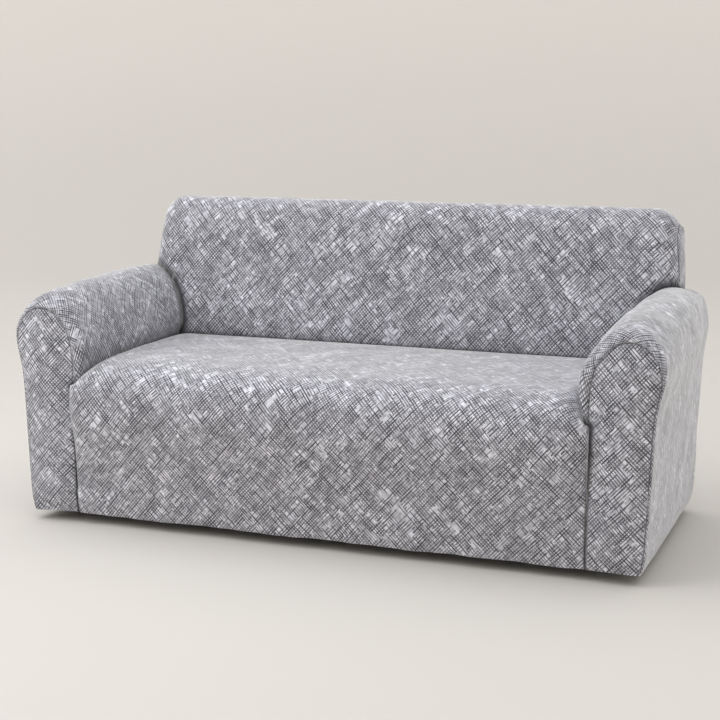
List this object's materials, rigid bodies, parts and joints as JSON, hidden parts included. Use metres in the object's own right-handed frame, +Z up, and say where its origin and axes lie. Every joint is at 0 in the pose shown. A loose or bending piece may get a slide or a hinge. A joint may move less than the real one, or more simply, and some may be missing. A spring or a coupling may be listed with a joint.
{
  "type": "sofa slipcover",
  "caption": "Fitted stretch slipcover of a roll-arm sofa, hollow and open below, with the seat, back and arms in one skin and a plain hem.",
  "frame": {"origin": "under the cloth at the middle of the back's crest, where the top of the sofa holds the cover up", "axes": "+Z up, +X to the right of someone who looks at the sofa's front, +Y to the back; the floor under the sofa lies at z = -0.906"},
  "size_m": [1.888, 0.9144, 0.877],
  "materials": {
    "cloth": "matt stretch jacquard, cool mid grey with a woven crosshatch of lighter and darker yarn"
  },
  "bodies": {
    "root": {"seat_panel": "cloth", "inside_back_panel": "cloth", "outside_back_panel": "cloth", "back_gusset_left": "cloth", "back_gusset_right": "cloth", "arm_panel_left": "cloth", "arm_panel_right": "cloth", "arm_front_left": "cloth", "arm_front_right": "cloth"}
  },
  "joints": []
}
